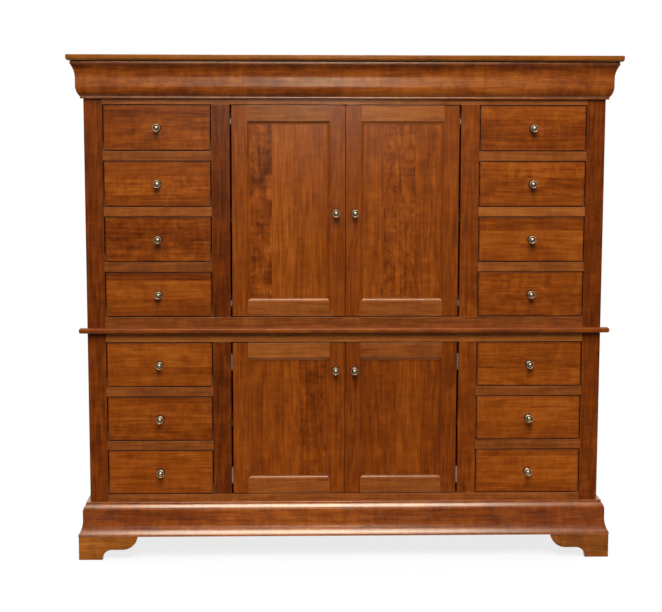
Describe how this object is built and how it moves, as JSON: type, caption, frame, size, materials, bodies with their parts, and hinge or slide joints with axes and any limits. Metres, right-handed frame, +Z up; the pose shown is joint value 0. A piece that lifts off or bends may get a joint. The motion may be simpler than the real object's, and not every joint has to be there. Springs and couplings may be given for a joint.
{
  "type": "chifforobe",
  "caption": "Two-part stained cherry chifforobe with inset drawers beside paired panel doors, ogee crown and base mouldings, bracket feet and turned metal knobs.",
  "frame": {"origin": "on the floor under the centre of the top board", "axes": "+X to the viewer's right across the front, +Y to the back, +Z up"},
  "size_m": [1.759, 0.5874, 1.6305],
  "materials": {
    "cherry_wood": "satin lacquer over red-brown stain",
    "drawer_box_wood": "clear sealed secondary wood",
    "knob_metal": "antique pewter",
    "hinge_metal": "antique bronze-grey"
  },
  "bodies": {
    "case": {"top_board": "cherry_wood", "crown_moulding": "cherry_wood", "upper_sides": "cherry_wood", "upper_partitions": "cherry_wood", "upper_face_frame": "cherry_wood", "upper_decks": "cherry_wood", "upper_runners": "drawer_box_wood", "waist_board": "cherry_wood", "lower_sides": "cherry_wood", "lower_partitions": "cherry_wood", "lower_face_frame": "cherry_wood", "lower_decks": "cherry_wood", "lower_runners": "drawer_box_wood", "base_moulding": "cherry_wood", "bracket_feet": "cherry_wood", "back_panels": "cherry_wood", "shelves": "cherry_wood", "shelf_cleats": "drawer_box_wood", "hinge_leaves": "hinge_metal", "door_catches": "hinge_metal"},
    "upper_left_slide_1": {"upper_left_drawer_1": "cherry_wood", "upper_left_drawer_knob_1": "knob_metal"},
    "upper_right_slide_1": {"upper_right_drawer_1": "cherry_wood", "upper_right_drawer_knob_1": "knob_metal"},
    "upper_left_slide_2": {"upper_left_drawer_2": "cherry_wood", "upper_left_drawer_knob_2": "knob_metal"},
    "upper_right_slide_2": {"upper_right_drawer_2": "cherry_wood", "upper_right_drawer_knob_2": "knob_metal"},
    "upper_left_slide_3": {"upper_left_drawer_3": "cherry_wood", "upper_left_drawer_knob_3": "knob_metal"},
    "upper_right_slide_3": {"upper_right_drawer_3": "cherry_wood", "upper_right_drawer_knob_3": "knob_metal"},
    "upper_left_slide_4": {"upper_left_drawer_4": "cherry_wood", "upper_left_drawer_knob_4": "knob_metal"},
    "upper_right_slide_4": {"upper_right_drawer_4": "cherry_wood", "upper_right_drawer_knob_4": "knob_metal"},
    "upper_left_leaf": {"upper_left_door": "cherry_wood", "upper_left_door_hardware": "hinge_metal", "upper_left_door_knob": "knob_metal"},
    "upper_right_leaf": {"upper_right_door": "cherry_wood", "upper_right_door_hardware": "hinge_metal", "upper_right_door_knob": "knob_metal"},
    "lower_left_slide_1": {"lower_left_drawer_1": "cherry_wood", "lower_left_drawer_knob_1": "knob_metal"},
    "lower_right_slide_1": {"lower_right_drawer_1": "cherry_wood", "lower_right_drawer_knob_1": "knob_metal"},
    "lower_left_slide_2": {"lower_left_drawer_2": "cherry_wood", "lower_left_drawer_knob_2": "knob_metal"},
    "lower_right_slide_2": {"lower_right_drawer_2": "cherry_wood", "lower_right_drawer_knob_2": "knob_metal"},
    "lower_left_slide_3": {"lower_left_drawer_3": "cherry_wood", "lower_left_drawer_knob_3": "knob_metal"},
    "lower_right_slide_3": {"lower_right_drawer_3": "cherry_wood", "lower_right_drawer_knob_3": "knob_metal"},
    "lower_left_leaf": {"lower_left_door": "cherry_wood", "lower_left_door_hardware": "hinge_metal", "lower_left_door_knob": "knob_metal"},
    "lower_right_leaf": {"lower_right_door": "cherry_wood", "lower_right_door_hardware": "hinge_metal", "lower_right_door_knob": "knob_metal"}
  },
  "joints": [
    {"name": "upper_left_pull_1", "type": "slide", "parent": "case", "child": "upper_left_slide_1", "axis": [0, -1, 0], "range_m": [0, 0.36]},
    {"name": "upper_right_pull_1", "type": "slide", "parent": "case", "child": "upper_right_slide_1", "axis": [0, -1, 0], "range_m": [0, 0.36]},
    {"name": "upper_left_pull_2", "type": "slide", "parent": "case", "child": "upper_left_slide_2", "axis": [0, -1, 0], "range_m": [0, 0.36]},
    {"name": "upper_right_pull_2", "type": "slide", "parent": "case", "child": "upper_right_slide_2", "axis": [0, -1, 0], "range_m": [0, 0.36]},
    {"name": "upper_left_pull_3", "type": "slide", "parent": "case", "child": "upper_left_slide_3", "axis": [0, -1, 0], "range_m": [0, 0.36]},
    {"name": "upper_right_pull_3", "type": "slide", "parent": "case", "child": "upper_right_slide_3", "axis": [0, -1, 0], "range_m": [0, 0.36]},
    {"name": "upper_left_pull_4", "type": "slide", "parent": "case", "child": "upper_left_slide_4", "axis": [0, -1, 0], "range_m": [0, 0.36]},
    {"name": "upper_right_pull_4", "type": "slide", "parent": "case", "child": "upper_right_slide_4", "axis": [0, -1, 0], "range_m": [0, 0.36]},
    {"name": "upper_left_swing", "type": "hinge", "parent": "case", "child": "upper_left_leaf", "pos_m": [-0.367, -0.24625, 1.135], "axis": [0, 0, -1], "range_deg": [0, 95]},
    {"name": "upper_right_swing", "type": "hinge", "parent": "case", "child": "upper_right_leaf", "pos_m": [0.367, -0.24625, 1.135], "axis": [0, 0, 1], "range_deg": [0, 95]},
    {"name": "lower_left_pull_1", "type": "slide", "parent": "case", "child": "lower_left_slide_1", "axis": [0, -1, 0], "range_m": [0, 0.36]},
    {"name": "lower_right_pull_1", "type": "slide", "parent": "case", "child": "lower_right_slide_1", "axis": [0, -1, 0], "range_m": [0, 0.36]},
    {"name": "lower_left_pull_2", "type": "slide", "parent": "case", "child": "lower_left_slide_2", "axis": [0, -1, 0], "range_m": [0, 0.36]},
    {"name": "lower_right_pull_2", "type": "slide", "parent": "case", "child": "lower_right_slide_2", "axis": [0, -1, 0], "range_m": [0, 0.36]},
    {"name": "lower_left_pull_3", "type": "slide", "parent": "case", "child": "lower_left_slide_3", "axis": [0, -1, 0], "range_m": [0, 0.36]},
    {"name": "lower_right_pull_3", "type": "slide", "parent": "case", "child": "lower_right_slide_3", "axis": [0, -1, 0], "range_m": [0, 0.36]},
    {"name": "lower_left_swing", "type": "hinge", "parent": "case", "child": "lower_left_leaf", "pos_m": [-0.367, -0.24625, 0.461], "axis": [0, 0, -1], "range_deg": [0, 95]},
    {"name": "lower_right_swing", "type": "hinge", "parent": "case", "child": "lower_right_leaf", "pos_m": [0.367, -0.24625, 0.461], "axis": [0, 0, 1], "range_deg": [0, 95]}
  ]
}
